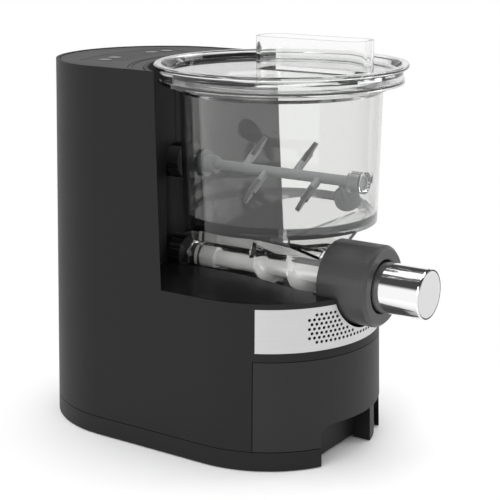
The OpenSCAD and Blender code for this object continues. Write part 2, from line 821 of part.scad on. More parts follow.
auger_out_r = gear_m * auger_teeth / 2 + box_gap;
paddle_out_r = gear_m * paddle_teeth / 2 + box_gap;
idler_out_r = fine_m * idler_big_teeth / 2 + box_gap;
pinion_out_r = fine_m * pinion_teeth / 2 + box_gap;

// The gears' room, drawn in X and Z, grown by g
module box_outline(g) {
    translate([0, axis_z]) circle(auger_out_r + g);
    translate([0, paddle_z]) circle(paddle_out_r + g);
    translate([idler_x, idler_z]) circle(idler_out_r + g);
    translate([motor_x, motor_z]) circle(pinion_out_r + g);
}

module gearbox_housing() {
    color([0.62, 0.63, 0.65]) difference() {
        upright(box_y0, box_y1) box_outline(box_wall);
        upright(box_y0 + box_wall, box_y1 + 1) box_outline(0);
        rod(box_y0 - 1, box_y0 + box_wall + 1, bush_r);
        rod(box_y0 - 1, box_y0 + box_wall + 1, bush_r, z = paddle_z);
        rod(box_y0 - 1, box_y0 + box_wall + 1, motor_shaft_r, x = idler_x, z = idler_z);
    }
}

module gearbox_cover() {
    color([0.6, 0.61, 0.63]) difference() {
        upright(box_y1, motor_y0) box_outline(box_wall);
        rod(box_y1 - 1, motor_y0 + 1, bush_r);
        rod(box_y1 - 1, motor_y0 + 1, bush_r, z = paddle_z);
        rod(box_y1 - 1, motor_y0 + 1, motor_shaft_r, x = idler_x, z = idler_z);
        rod(box_y1 - 1, motor_y0 + 1, motor_shaft_r + 1, x = motor_x, z = motor_z);
    }
}

module gearbox_screws() {
    // heads on the cover, over the housing's wall
    head_h = 2.2;
    color([0.7, 0.7, 0.72]) {
        for (a = [20, 160, 200]) rod(motor_y0, motor_y0 + head_h, 2.8, x = auger_out_r * cos(a),
            z = axis_z + auger_out_r * sin(a));
        for (a = [40, 140]) rod(motor_y0, motor_y0 + head_h, 2.8, x = paddle_out_r * cos(a),
            z = paddle_z + paddle_out_r * sin(a));
    }
}

module auger_gear() {
    color([0.86, 0.84, 0.76]) gear(auger_teeth, gear_m, gear_w, gear_y, 0, axis_z, 0, shaft_r);
}

module paddle_gear() {
    color([0.86, 0.84, 0.76])
        gear(paddle_teeth, gear_m, gear_w, gear_y, 0, paddle_z, 270 + 180 / paddle_teeth, shaft_r);
}

module idler_gear() {
    // a large and a small gear in one moulding
    color([0.82, 0.8, 0.72]) {
        gear(idler_small_teeth, gear_m, gear_w + 2, gear_y, idler_x, idler_z,
            idler_a + 180 + 180 / idler_small_teeth, motor_shaft_r + run);
        gear(idler_big_teeth, fine_m, fine_w, fine_y, idler_x, idler_z, pinion_a, motor_shaft_r + run);
    }
}

module idler_axle() {
    color([0.7, 0.7, 0.72]) rod(box_y0 + 0.5, motor_y0 - 0.5, motor_shaft_r, x = idler_x, z = idler_z);
}

module motor_pinion() {
    color([0.75, 0.68, 0.4])
        gear(pinion_teeth, fine_m, fine_w, fine_y, motor_x, motor_z, pinion_a + 180 + 180 / pinion_teeth,
            motor_shaft_r);
}

// A drive shaft: round in its bushes, six-sided where it enters the auger or paddle
module drive_shaft(z, hex_end) {
    color([0.7, 0.71, 0.73]) {
        rod(wall_y - hub_l - 1, motor_y0 - 0.5, shaft_r, z = z);
        rod(hex_end, wall_y - hub_l - 1 + eps, hex_r, z = z, sides = 6);
    }
}

auger_rear_y = bowl_y + barrel_back - 4;
socket_l = 14;
paddle_rear_y = bowl_y + bowl_or(paddle_z) + 2;

module auger_drive_shaft() { drive_shaft(axis_z, auger_rear_y - socket_l + 2); }
module paddle_drive_shaft() { drive_shaft(paddle_z, paddle_rear_y - socket_l + 2); }

// A flanged bush with its flange at the front
module bush(y0, y1, z, flange_t) {
    difference() {
        union() {
            rod(y0, y1, bush_r, z = z);
            rod(y0, y0 + flange_t, bush_flange_r, z = z);
        }
        rod(y0 - 1, y1 + 1, shaft_r + run, z = z);
    }
}

module front_bushes() {
    color([0.72, 0.55, 0.28]) for (z = [axis_z, paddle_z])
        difference() {
            rod(wall_y - hub_l + 4, box_y0 + box_wall, bush_r, z = z);
            rod(wall_y - hub_l, box_y0 + box_wall + 1, shaft_r + run, z = z);
        }
}

module rear_bushes() {
    color([0.72, 0.55, 0.28]) for (z = [axis_z, paddle_z]) bush(box_y1 - 1.6, motor_y0, z, 1.6);
}

module shaft_seals() {
    // rubber rings at the mouths of the hubs
    color([0.1, 0.1, 0.1]) for (z = [axis_z, paddle_z]) difference() {
        rod(wall_y - hub_l, wall_y - hub_l + 4, bush_r, z = z);
        rod(wall_y - hub_l - 1, wall_y - hub_l + 5, shaft_r + run, z = z);
    }
}

// ---- motor ----

module motor_can() {
    color([0.5, 0.51, 0.53]) difference() {
        rod(motor_y0, motor_y1, motor_r, x = motor_x, z = motor_z);
        rod(motor_y0 + 3, motor_y1 - 3, motor_r - 3, x = motor_x, z = motor_z);
        rod(motor_y0 - 1, motor_y1 + 1, motor_shaft_r + run, x = motor_x, z = motor_z);
    }
}

module motor_rotor() {
    color([0.55, 0.4, 0.25]) {
        rod(fine_y - 1, fan_y + fan_w, motor_shaft_r, x = motor_x, z = motor_z);
        rod(motor_y0 + 8, motor_y1 - 8, motor_r - 7, x = motor_x, z = motor_z);
    }
}

module cooling_fan() {
    blades = 9;
    color([0.25, 0.25, 0.26]) difference() {
        union() {
            rod(fan_y, fan_y + fan_w - 1, 8, x = motor_x, z = motor_z);
            rod(fan_y, fan_y + 1.2, fan_r, x = motor_x, z = motor_z);
            for (k = [0 : blades - 1]) translate([motor_x, fan_y + fan_w / 2 - 0.5, motor_z])
                rotate([0, k * 360 / blades, 0]) translate([0, 0, (fan_r + 7) / 2])
                    cube([1.2, fan_w - 2.2, fan_r - 8], center = true);
        }
        rod(fan_y - 1, fan_y + fan_w + 1, motor_shaft_r, x = motor_x, z = motor_z);
    }
}

module motor_cradle() {
    // saddle under the motor, standing on the floor of the pan
    color([0.17, 0.17, 0.18]) difference() {
        translate([motor_x - 20, motor_y0 + 6, floor_top]) cube([40, motor_l - 14, motor_z - floor_top - 14]);
        rod(motor_y0, motor_y1, motor_r, x = motor_x, z = motor_z);
        translate([motor_x - 13, motor_y0, floor_top - 1]) cube([26, motor_l, 14]);
    }
}

// ---- bowl, barrel and what turns in them ----

// The hopper under the bowl floor, drawn in X and Z: a V with a flat bottom, raised by up
module hopper_outline(up) {
    low = feed_w / 2 + clear_t;
    polygon([
        [-low, hopper_z + up], [low, hopper_z + up], [hopper_half, bowl_floor_z + up],
        [hopper_half, far], [-hopper_half, far], [-hopper_half, bowl_floor_z + up]
    ]);
}

module bowl() {
    zt = flange_z - flange_t;
    bead_z = flange_z - 5.1;
    neck_z = bead_z - 4;
    ring_w = 2;
    ring_z = bowl_floor_top + 3.5;
    low = hopper_z - 1;
    color([0.75, 0.78, 0.8, 0.4]) difference() {
        union() {
            difference() {
                // wall, rim and floor, with only the hopper left below the floor
                intersection() {
                    translate([0, bowl_y, 0]) rotate_extrude() polygon([
                        [0, low], [bowl_or(low), low], [bowl_or(neck_z), neck_z], [bead_r, bead_z - 1],
                        [bead_r, bead_z + 1], [bead_r - 2, zt], [flange_r, zt], [flange_r, flange_z],
                        [0, flange_z]
                    ]);
                    union() {
                        translate([-far / 2, bowl_y - far / 2, bowl_floor_z]) cube(far);
                        upright(hopper_y, bowl_y + far / 2) hopper_outline(0);
                    }
                }
                // room inside, with a ring left round the edge of the floor
                intersection() {
                    translate([0, bowl_y, 0]) rotate_extrude() polygon([
                        [0, low], [bowl_or(low) - clear_t, low],
                        [bowl_or(bowl_floor_top) - clear_t, bowl_floor_top],
                        [bowl_or(bowl_floor_top) - clear_t - ring_w, bowl_floor_top],
                        [bowl_or(ring_z) - clear_t - ring_w, ring_z], [bowl_or(ring_z) - clear_t, ring_z],
                        [bowl_or(flange_z) - clear_t, flange_z],
                        [bowl_or(flange_z) - clear_t, flange_z + 1], [0, flange_z + 1]
                    ]);
                    union() {
                        translate([-far / 2, bowl_y - far / 2, bowl_floor_top]) cube(far);
                        upright(hopper_y + clear_t, bowl_y + far / 2) hopper_outline(clear_t);
                    }
                }
            }
            // neck between the hopper and the barrel
            translate([-feed_w / 2 - clear_t, hopper_y, axis_z + 2])
                cube([feed_w + 2 * clear_t, feed_l + 2 * clear_t, hopper_z - axis_z - 1.9]);
            // seat for the front end of the paddle
            intersection() {
                rod(bowl_y - bowl_r, bowl_y - bowl_r + seat_l, seat_r, z = paddle_z);
                translate([0, bowl_y, bowl_floor_z]) cylinder(r = bowl_or(bowl_floor_z), h = far);
            }
        }
        // room for the barrel, feed opening and shaft holes
        barrel_form();
        translate([-feed_w / 2, hopper_y + clear_t, axis_z])
            cube([feed_w, feed_l, hopper_z + clear_t + 1 - axis_z]);
        rod(bowl_y, bowl_y + bowl_r + 9, wall_bush_r, z = paddle_z);
        rod(bowl_y - bowl_r + 4, bowl_y, seat_bore_r, z = paddle_z);
    }
}

seat_r = 8;
seat_l = 12;
seat_bore_r = 5.5;
paddle_shaft_r = 4;
paddle_hub_r = 7;
wall_bush_r = 8.5;

// The barrel's outer form, which the bowl's hopper sits on
module barrel_form() {
    spun([
        [0, -barrel_back], [collar_r, -barrel_back], [collar_r, collar_l - barrel_back],
        [barrel_r_back, collar_l - barrel_back], [barrel_r0, -flare_back],
        [barrel_r1, flare_fwd], [barrel_r1, nut_fwd - 0.5], [thread_r, nut_fwd - 0.5],
        [thread_r, barrel_front], [0, barrel_front]
    ]);
}

module barrel() {
    color([0.75, 0.78, 0.8, 0.4]) difference() {
        barrel_form();
        spun([
            [0, -barrel_back - 1], [barrel_bore_back, -barrel_back - 1],
            [barrel_bore_back, collar_l - barrel_back], [barrel_bore_r0, -flare_back],
            [barrel_bore_r1, flare_fwd], [barrel_bore_r1, barrel_front + 1], [0, barrel_front + 1]
        ]);
        // feed opening under the bowl's hopper
        translate([-feed_w / 2, hopper_y + clear_t, axis_z]) cube([feed_w, feed_l, far]);
    }
}

auger_core_r = 6.5;

module auger_shaft() {
    color([0.8, 0.8, 0.8]) difference() {
        union() {
            rod(auger_tip_y, auger_rear_y - socket_l - 2, auger_core_r);
            rod(auger_rear_y - socket_l - 3, auger_rear_y, barrel_bore_back - run);
        }
        rod(auger_rear_y - socket_l, auger_rear_y + 1, hex_r + slip, sides = 6);
    }
}

auger_tip_y = bowl_y - barrel_front + 8;

// A flight of constant or growing radius, wound round the core
module wound(y_front, y_back, r_back, r_front, turns) {
    len = y_back - y_front;
    translate([0, y_back, axis_z]) rotate([90, 0, 0])
        linear_extrude(len, twist = -360 * turns, scale = r_front / r_back, slices = 20 * turns, $fn = fine_fn)
            difference() {
                translate([0, -1.6]) square([r_back, 3.2]);
                circle(auger_core_r * r_back / r_front - 0.4);
            }
}

module auger_flight() {
    clear = 0.7;
    color([0.88, 0.88, 0.86])
        wound(auger_tip_y + 0.5, bowl_y + flare_back, barrel_bore_r0 - clear, barrel_bore_r1 - clear, 3);
}

module mixing_paddle() {
    blade_t = 3;
    blade_w = 18;
    blade_l = 22;
    color([0.55, 0.56, 0.57]) difference() {
        union() {
            rod(bowl_y - bowl_r + 5, paddle_rear_y - 4, paddle_shaft_r, z = paddle_z);
            rod(paddle_rear_y - socket_l - 3, paddle_rear_y, paddle_hub_r, z = paddle_z);
            for (b = paddle_blades) translate([0, bowl_y - b[0], paddle_z]) rotate([0, b[1], 0]) {
                // arm and oval blade
                cylinder(r = 3, h = paddle_r - b[3] - blade_l / 2);
                translate([0, 0, paddle_r - b[3] - 1 - blade_l / 2]) rotate([0, 0, b[2]]) rotate([90, 0, 0])
                    translate([0, 0, -blade_t / 2]) linear_extrude(blade_t)
                        rounded(blade_w, blade_l, blade_w / 2 - 0.1);
            }
        }
        rod(paddle_rear_y - socket_l, paddle_rear_y + 1, hex_r + slip, z = paddle_z, sides = 6);
    }
}

// Each blade: distance in front of the bowl axis, turn round the shaft, pitch, how much shorter it is
paddle_blades = [[-34, 60, 35, 0], [-12, 240, -35, 0], [12, 60, 35, 0], [34, 240, -35, 0], [52, 150, 60, 6.5]];

module paddle_bushes() {
    // one in the bowl's front seat, one in its back wall with a flange inside
    y_in = bowl_y + bowl_or(paddle_z) - clear_t;
    color([0.9, 0.9, 0.88]) {
        difference() {
            rod(bowl_y - bowl_r + 4.2, bowl_y - bowl_r + seat_l, seat_bore_r, z = paddle_z);
            rod(bowl_y - bowl_r + 3, bowl_y - bowl_r + seat_l + 1, paddle_shaft_r + run, z = paddle_z);
        }
        difference() {
            union() {
                rod(y_in - 2, y_in + clear_t + 1.5, wall_bush_r, z = paddle_z);
                rod(y_in - 3, y_in - 0.9, wall_bush_r + 2, z = paddle_z);
            }
            rod(y_in - 4, y_in + clear_t + 3, paddle_hub_r + run, z = paddle_z);
        }
    }
}

module retaining_nut() {
    f0 = nut_fwd;
    f1 = nut_fwd + nut_len;
    lip = f1 - 8;
    color([0.14, 0.14, 0.15]) intersection() {
        spun([
            [thread_r + slip, f0], [nut_r - 1, f0], [nut_r, f0 + 1], [nut_r, f1 - nut_rim],
            [nut_r - nut_rim, f1], [nut_open_r + 1, f1], [nut_open_r, f1 - 1], [nut_open_r, lip],
            [thread_r + slip, lip]
        ]);
        // soft flats
        translate([0, nut_y + 1, axis_z]) rotate([90, 0, 0]) rotate([0, 0, 15])
            cylinder(r = (nut_r - 0.35) / cos(180 / 12), h = nut_len + 2, $fn = 12);
    }
}

module outlet_tube() {
    f0 = barrel_front + 1.5;
    f1 = bowl_fwd_to_end;
    color([0.85, 0.85, 0.86]) difference() {
        spun([
            [0, f0], [thread_r - 0.5, f0], [thread_r - 0.5, nut_fwd + nut_len - 8 - 0.1],
            [tube_r, nut_fwd + nut_len - 8 - 0.1], [tube_r, f1 - 2], [tube_r - 0.6, f1 - 0.7],
            [tube_r - 2.2, f1], [0, f1]
        ]);
        spun([[0, f0 - 1], [tube_r - tube_t, f0 - 1], [tube_r - tube_t, f1 - 3], [0, f1 - 3]]);
        // pasta holes in the underside
        for (i = [0 : 7], j = [-1 : 1]) translate([0, nose_y - 4 - i * pasta_pitch, axis_z])
            rotate([0, j * 15, 0]) translate([0, 0, -tube_r - 2]) cylinder(r = pasta_r, h = 8, $fn = 24);
    }
}

bowl_fwd_to_end = nut_fwd + nut_len + tube_out;

module outlet_seal() {
    // rubber ring between barrel and outlet tube
    color([0.6, 0.15, 0.12]) spun([
        [barrel_bore_r1 + 0.2, barrel_front], [thread_r - 0.4, barrel_front],
        [thread_r - 0.4, barrel_front + 1.5], [barrel_bore_r1 + 0.2, barrel_front + 1.5]
    ]);
}

module lid() {
    rim0 = lid_rim_z - lid_rim_t / 2;
    rim1 = lid_rim_z + lid_rim_t / 2;
    skirt_r = dish_r + lid_skirt_t;
    spigot_r = bowl_or(flange_z) - clear_t - 2;
    plate_z = dish_z - clear_t;
    color([0.8, 0.82, 0.84, 0.4]) difference() {
        union() {
            translate([0, bowl_y, 0]) rotate_extrude() polygon([
                [0, plate_z], [spigot_r - 2, plate_z], [spigot_r - 2, flange_z - spigot_h],
                [spigot_r, flange_z - spigot_h], [spigot_r, plate_z], [dish_r, plate_z],
                [dish_r, flange_z + lid_gap], [skirt_r, flange_z + lid_gap], [skirt_r, rim0],
                [lid_r - 0.8, rim0], [lid_r, rim0 + 0.9], [lid_r, rim1 - 0.9], [lid_r - 0.8, rim1],
                [dish_r + 1, rim1], [dish_r - 1, dish_z], [0, dish_z]
            ]);
            translate([0, chute_y, plate_z]) linear_extrude(chute_z - plate_z)
                rounded(chute_w, chute_l, chute_corner_r);
        }
        translate([0, chute_y, plate_z - 1]) linear_extrude(far)
            rounded(chute_w - 2 * clear_t, chute_l - 2 * clear_t, chute_corner_r - clear_t);
    }
}

module lid_seal() {
    // soft ring round the lid's spigot
    spigot_r = bowl_or(flange_z) - clear_t - 2;
    color([0.8, 0.8, 0.8]) translate([0, bowl_y, flange_z - 5]) difference() {
        cylinder(r = bowl_or(flange_z - 5) - clear_t - 0.2, h = 3);
        translate([0, 0, -1]) cylinder(r = spigot_r, h = 5);
    }
}

housing_shell();
top_cover();
control_panel();
display_lens();
power_button();
program_button();
flour_button();
start_button();
control_board();
front_plate();
rear_vent();
base_pan();
rubber_feet();
base_screws();
cord_gland();
power_board();
drawer_bay();
drawer_runners();
drawer_front();
drawer_tray();
drying_fan_frames();
drying_fan_left();
drying_fan_right();
lid_switch();
lid_switch_plunger();
gearbox_housing();
gearbox_cover();
gearbox_screws();
auger_gear();
auger_drive_shaft();
paddle_gear();
paddle_drive_shaft();
idler_gear();
idler_axle();
front_bushes();
rear_bushes();
shaft_seals();
motor_can();
motor_rotor();
motor_pinion();
cooling_fan();
motor_cradle();
bowl();
barrel();
mixing_paddle();
auger_shaft();
auger_flight();
paddle_bushes();
retaining_nut();
outlet_tube();
outlet_seal();
lid();
lid_seal();
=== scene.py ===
import json
import math

import bmesh
import bpy
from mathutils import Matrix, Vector

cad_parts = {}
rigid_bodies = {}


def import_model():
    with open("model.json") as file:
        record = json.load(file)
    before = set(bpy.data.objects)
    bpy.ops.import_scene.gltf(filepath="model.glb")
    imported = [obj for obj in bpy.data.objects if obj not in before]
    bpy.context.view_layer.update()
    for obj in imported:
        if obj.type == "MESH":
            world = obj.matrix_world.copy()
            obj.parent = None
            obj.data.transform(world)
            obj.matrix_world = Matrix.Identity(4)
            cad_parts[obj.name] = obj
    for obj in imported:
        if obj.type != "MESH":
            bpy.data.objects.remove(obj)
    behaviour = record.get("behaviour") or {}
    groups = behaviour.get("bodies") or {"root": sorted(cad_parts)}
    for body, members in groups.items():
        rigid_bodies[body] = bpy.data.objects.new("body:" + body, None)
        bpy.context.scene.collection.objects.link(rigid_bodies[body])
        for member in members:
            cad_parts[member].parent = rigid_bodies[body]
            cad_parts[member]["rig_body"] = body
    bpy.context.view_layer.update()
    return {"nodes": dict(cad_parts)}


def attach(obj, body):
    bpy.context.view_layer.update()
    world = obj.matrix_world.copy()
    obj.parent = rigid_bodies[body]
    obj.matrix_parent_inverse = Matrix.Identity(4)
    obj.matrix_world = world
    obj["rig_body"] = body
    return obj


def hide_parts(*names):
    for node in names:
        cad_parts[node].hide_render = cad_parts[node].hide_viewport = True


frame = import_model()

scene = bpy.context.scene
scene.view_settings.view_transform = "Standard"
nodes = frame["nodes"]


# ---- Camera ----
# A long lens that stands well back at the front left, a little above the lid, and is level from
# side to side.
eye = Vector((-0.8284, -0.56535, 0.4016))
aim = Vector((-0.1110, -0.08345, 0.1773))
camera_data = bpy.data.cameras.new("studio_camera")
camera_data.lens = 95.77
camera_data.sensor_width = 36.0
camera_data.clip_start = 0.02
camera_data.clip_end = 60.0
camera = bpy.data.objects.new("studio_camera", camera_data)
camera.location = eye
camera.rotation_euler = (aim - eye).to_track_quat("-Z", "Y").to_euler()
scene.collection.objects.link(camera)
scene.camera = camera


# ---- Table and studio ----
# A plain white sweep under the machine, in a white room that gives most of its light from above,
# with three soft boxes. The sweep keeps the machine's soft shadow.
def add_node(tree, kind, inputs=None, **settings):
    """Adds a shader node. Each input takes a fixed value or another node's output."""
    node = tree.nodes.new(kind)
    for setting, value in settings.items():
        setattr(node, setting, value)
    for socket, value in (inputs or {}).items():
        if isinstance(value, bpy.types.NodeSocket):
            tree.links.new(value, node.inputs[socket])
        else:
            node.inputs[socket].default_value = value
    return node


def slope(tree, source, start, end, low, high):
    """A value that runs smoothly from low to high while its source runs from start to end."""
    return add_node(tree, "ShaderNodeMapRange", {
        "Value": source, "From Min": start, "From Max": end, "To Min": low, "To Max": high,
    }, interpolation_type="SMOOTHSTEP").outputs["Result"]


def greater(tree, first, second):
    """The greater of two values."""
    return add_node(tree, "ShaderNodeMath", {0: first, 1: second}, operation="MAXIMUM").outputs[0]


room = bpy.data.worlds.new("studio_room")
scene.world = room
room.use_nodes = True
walls = room.node_tree
walls.nodes.clear()
direction = add_node(walls, "ShaderNodeTexCoord").outputs["Generated"]
height = add_node(walls, "ShaderNodeSeparateXYZ", {0: direction}).outputs["Z"]
light = slope(walls, height, start=0.05, end=0.6, low=0.16, high=0.9)
reflection = slope(walls, height, start=0.28, end=0.5, low=1.0, high=0.06)
ray = add_node(walls, "ShaderNodeLightPath").outputs
by_gloss = greater(walls, ray["Is Glossy Ray"], ray["Is Transmission Ray"])
shown = add_node(walls, "ShaderNodeMix", {"Factor": by_gloss, 2: light, 3: reflection}).outputs[0]
fill = add_node(walls, "ShaderNodeBackground", {
    "Color": (1.0, 1.0, 1.0, 1.0), "Strength": greater(walls, ray["Is Camera Ray"], shown),
})
add_node(walls, "ShaderNodeOutputWorld", {"Surface": fill.outputs[0]})

table_mesh = bpy.data.meshes.new("table")
sheet = bmesh.new()
bmesh.ops.create_grid(sheet, x_segments=8, y_segments=8, size=14.0)
sheet.to_mesh(table_mesh)
sheet.free()
table = bpy.data.objects.new("table", table_mesh)
scene.collection.objects.link(table)
table_paint = bpy.data.materials.new("table_paint")
table_paint.use_nodes = True
paint = table_paint.node_tree
paint.nodes.clear()
ray = add_node(paint, "ShaderNodeLightPath").outputs
looked_at = greater(paint, greater(paint, ray["Is Camera Ray"], ray["Is Transmission Ray"]),
                    ray["Is Glossy Ray"])
where = add_node(paint, "ShaderNodeTexCoord").outputs["Object"]
reach = add_node(paint, "ShaderNodeVectorMath", {0: where}, operation="LENGTH").outputs["Value"]
clear_of_shadow = slope(paint, reach, start=0.14, end=0.28, low=0.0, high=1.0)
share = add_node(paint, "ShaderNodeMath", {0: looked_at, 1: clear_of_shadow}, operation="MULTIPLY")
matt = add_node(paint, "ShaderNodeBsdfDiffuse", {"Color": (0.97, 0.97, 0.97, 1.0)})
white = add_node(paint, "ShaderNodeEmission", {"Color": (1.0, 1.0, 1.0, 1.0), "Strength": 1.0})
both = add_node(paint, "ShaderNodeMixShader", {
    "Fac": share.outputs[0], 1: matt.outputs[0], 2: white.outputs[0],
})
add_node(paint, "ShaderNodeOutputMaterial", {"Surface": both.outputs[0]})
table_mesh.materials.append(table_paint)


def soft_box(name, place, aim_at, width, height, power):
    """A rectangular studio lamp that faces aim_at."""
    lamp_data = bpy.data.lights.new(name, "AREA")
    lamp_data.shape = "RECTANGLE"
    lamp_data.size = width
    lamp_data.size_y = height
    lamp_data.energy = power
    lamp = bpy.data.objects.new(name, lamp_data)
    lamp.location = place
    lamp.rotation_euler = (Vector(aim_at) - Vector(place)).to_track_quat("-Z", "Y").to_euler()
    scene.collection.objects.link(lamp)


soft_box("box_above", (0.15, 0.2, 1.9), aim_at=(0.0, 0.0, 0.15), width=1.6, height=1.4, power=15.0)
soft_box("box_left", (-1.7, -0.2, 0.9), aim_at=(0.0, 0.0, 0.15), width=1.0, height=1.2, power=9.0)
soft_box("box_right", (1.3, -1.1, 0.8), aim_at=(0.0, -0.05, 0.2), width=0.7, height=1.1, power=6.0)


# ---- Housing ----
# One big injection moulding in black with a fine matte grain: tall behind, hollowed round the bowl
# and low in front. The tall upright corners have a small moulded radius, and the hollow is smoother;
# the hollow is painted darker as painted shade, and its hubs lighter as painted light.
def surface_group(name, inputs, outputs=("Colour", "Roughness", "Normal")):
    """A node group with named inputs and outputs, and what its inputs give."""
    kinds = {1: "NodeSocketFloat", 3: "NodeSocketVector", 4: "NodeSocketColor"}
    widths = {"Colour": 4, "Roughness": 1, "Normal": 3}
    group = bpy.data.node_groups.new(name, "ShaderNodeTree")
    for socket, value in inputs.items():
        width = 1 if isinstance(value, float) else len(value)
        group.interface.new_socket(name=socket, in_out="INPUT",
                                   socket_type=kinds[width]).default_value = value
    for socket in outputs:
        group.interface.new_socket(name=socket, in_out="OUTPUT", socket_type=kinds[widths[socket]])
    return group, add_node(group, "NodeGroupInput").outputs


def centred(tree, pattern):
    """A noise pattern, moved so that its middle is nought."""
    return add_node(tree, "ShaderNodeMath", {0: pattern.outputs["Fac"], 1: 0.5},
                    operation="SUBTRACT").outputs[0]


def varied(tree, change, spread, middle):
    """A value that swings round its middle with a pattern."""
    return add_node(tree, "ShaderNodeMath", {0: change, 1: spread, 2: middle},
                    operation="MULTIPLY_ADD").outputs[0]


def shaded(tree, colour, strength):
    """A colour made lighter or darker."""
    return add_node(tree, "ShaderNodeVectorMath", {0: colour, "Scale": strength},
                    operation="SCALE").outputs[0]


def raised(tree, pattern, depth):
    """The normal of a surface on which a pattern stands up by a depth."""
    return add_node(tree, "ShaderNodeBump", {
        "Strength": 1.0, "Distance": depth, "Height": pattern.outputs["Fac"],
    }).outputs[0]


def moulded_surface():
    """Moulded plastic and rubber: a fine grain, and slow changes of shade and gloss."""
    group, given = surface_group("moulded_surface", {
        "Colour": (0.5, 0.5, 0.5, 1.0), "Shade Spread": 0.1, "Roughness": 0.5,
        "Roughness Spread": 0.05, "Grain Scale": 1500.0, "Grain Depth": 0.00002,
    })
    where = add_node(group, "ShaderNodeTexCoord").outputs["Object"]
    slow = add_node(group, "ShaderNodeTexNoise", {
        "Vector": where, "Scale": 26.0, "Detail": 5.0, "Roughness": 0.6,
    })
    grain = add_node(group, "ShaderNodeTexNoise", {
        "Vector": where, "Scale": given["Grain Scale"], "Detail": 2.0,
    })
    change = add_node(group, "ShaderNodeMath", {0: centred(group, slow), 1: centred(group, grain)},
                      operation="ADD").outputs[0]
    add_node(group, "NodeGroupOutput", {
        "Colour": shaded(group, given["Colour"], varied(group, change, given["Shade Spread"], 1.0)),
        "Roughness": varied(group, centred(group, slow), given["Roughness Spread"], given["Roughness"]),
        "Normal": raised(group, grain, given["Grain Depth"]),
    })
    return group


def finish_from(group, name, values):
    """A material on a surface group, and its shader, whose other numbers are set after."""
    finish = bpy.data.materials.new(name)
    finish.use_nodes = True
    tree = finish.node_tree
    shader = tree.nodes["Principled BSDF"]
    surface = add_node(tree, "ShaderNodeGroup", values, node_tree=group)
    for output, socket in (("Colour", "Base Color"), ("Roughness", "Roughness"), ("Normal", "Normal")):
        if output in surface.outputs:
            tree.links.new(surface.outputs[output], shader.inputs[socket])
    return finish, shader


MOULDED = moulded_surface()


def moulded(name, colour, roughness, grain_scale=1500.0, grain_depth=0.00002, shade=0.12,
            spread=0.08, specular=0.5):
    """A plastic or rubber finish on the shared grain."""
    finish, shader = finish_from(MOULDED, name, {
        "Colour": (*colour, 1.0), "Shade Spread": shade, "Roughness": roughness,
        "Roughness Spread": spread, "Grain Scale": grain_scale, "Grain Depth": grain_depth,
    })
    shader.inputs["Specular IOR Level"].default_value = specular
    return finish


def edged(node, name, radius, finish, segments=3, sharp=34.0):
    """A piece with a node's own form, its seams merged and its edges rounded, in place of the node."""
    seam_gap, flat_turn = 0.000004, 0.6
    source = nodes[node]
    mesh = source.data.copy()
    mesh.name = name
    piece = bpy.data.objects.new(name, mesh)
    scene.collection.objects.link(piece)
    form = bmesh.new()
    form.from_mesh(mesh)
    bmesh.ops.remove_doubles(form, verts=form.verts, dist=seam_gap)
    bmesh.ops.dissolve_limit(form, angle_limit=math.radians(flat_turn), use_dissolve_boundaries=False,
                             verts=form.verts, edges=form.edges, delimit=set())
    form.to_mesh(mesh)
    form.free()
    # The copy's stored normals no longer belong to its corners.
    if "custom_normal" in mesh.attributes:
        mesh.attributes.remove(mesh.attributes["custom_normal"])
    mesh.materials.clear()
    mesh.materials.append(finish)
    for face in mesh.polygons:
        face.use_smooth = True
        face.material_index = 0
    mesh.set_sharp_from_angle(angle=math.radians(sharp))
    rounding = piece.modifiers.new("moulded_radius", "BEVEL")
    rounding.width = radius
    rounding.segments = segments
    rounding.limit_method = "ANGLE"
    rounding.angle_limit = math.radians(sharp)
    rounding.use_clamp_overlap = True
    rounding.harden_normals = True
    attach(piece, source["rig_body"])
    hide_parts(node)
    return piece


def second_finish(piece, finish):
    """Adds a finish for some faces of a piece, and gives the number that those faces take."""
    piece.data.materials.append(finish)
    return len(piece.data.materials) - 1


def corners_of(piece, face):
    """Where the corners of a face are."""
    return [piece.data.vertices[i].co for i in face.vertices]


black_matte = moulded("black_matte", (0.014, 0.014, 0.0145), 0.5, grain_scale=1700.0,
                      grain_depth=0.000018, specular=0.2)
# The hollow's darker colour is painted shade in the recess round the bowl.
hollow_black_painted_shade = moulded("hollow_black_painted_shade", (0.006, 0.006, 0.0062), 0.24, grain_scale=500.0,
                       grain_depth=0.000003, specular=0.08)
# The hubs' lighter colour is painted light on them, in the shade of the hollow.
hub_black_painted_light = moulded("hub_black_painted_light", (0.03, 0.03, 0.031), 0.5, grain_scale=900.0, grain_depth=0.00001)
housing = edged("housing_shell", "housing_moulding", 0.0013, black_matte)
# Only the tall upright corners are rounded.
tall_edge = 0.05
uprights = housing.data.attributes.new("bevel_weight_edge", "FLOAT", "EDGE")
for edge in housing.data.edges:
    foot, head = (housing.data.vertices[i].co.z for i in edge.vertices)
    if edge.use_edge_sharp and abs(foot - head) > tall_edge:
        uprights.data[edge.index].value = 1.0
housing.modifiers["moulded_radius"].limit_method = "WEIGHT"
# The hollow's wall and floor are smooth and painted darker as painted shade, and the two hubs on
# its wall are grained and painted lighter as painted light, against the hollow's shade.
hollow_painted_shade_place = second_finish(housing, hollow_black_painted_shade)
hub_painted_light_place = second_finish(housing, hub_black_painted_light)
bowl_axis = Vector((0.0, -0.03665))
hollow_radius, on_wall = 0.0983, 0.0001
hollow_foot, hollow_top, facing_up = 0.1265, 0.285, 0.9
for face in housing.data.polygons:
    corners = corners_of(housing, face)
    if not all(hollow_foot < corner.z < hollow_top for corner in corners):
        continue
    reaches = [(corner.xy - bowl_axis).length for corner in corners]
    if face.normal.z > facing_up or all(abs(reach - hollow_radius) < on_wall for reach in reaches):
        face.material_index = hollow_painted_shade_place
    elif all(reach < hollow_radius for reach in reaches):
        face.material_index = hub_painted_light_place


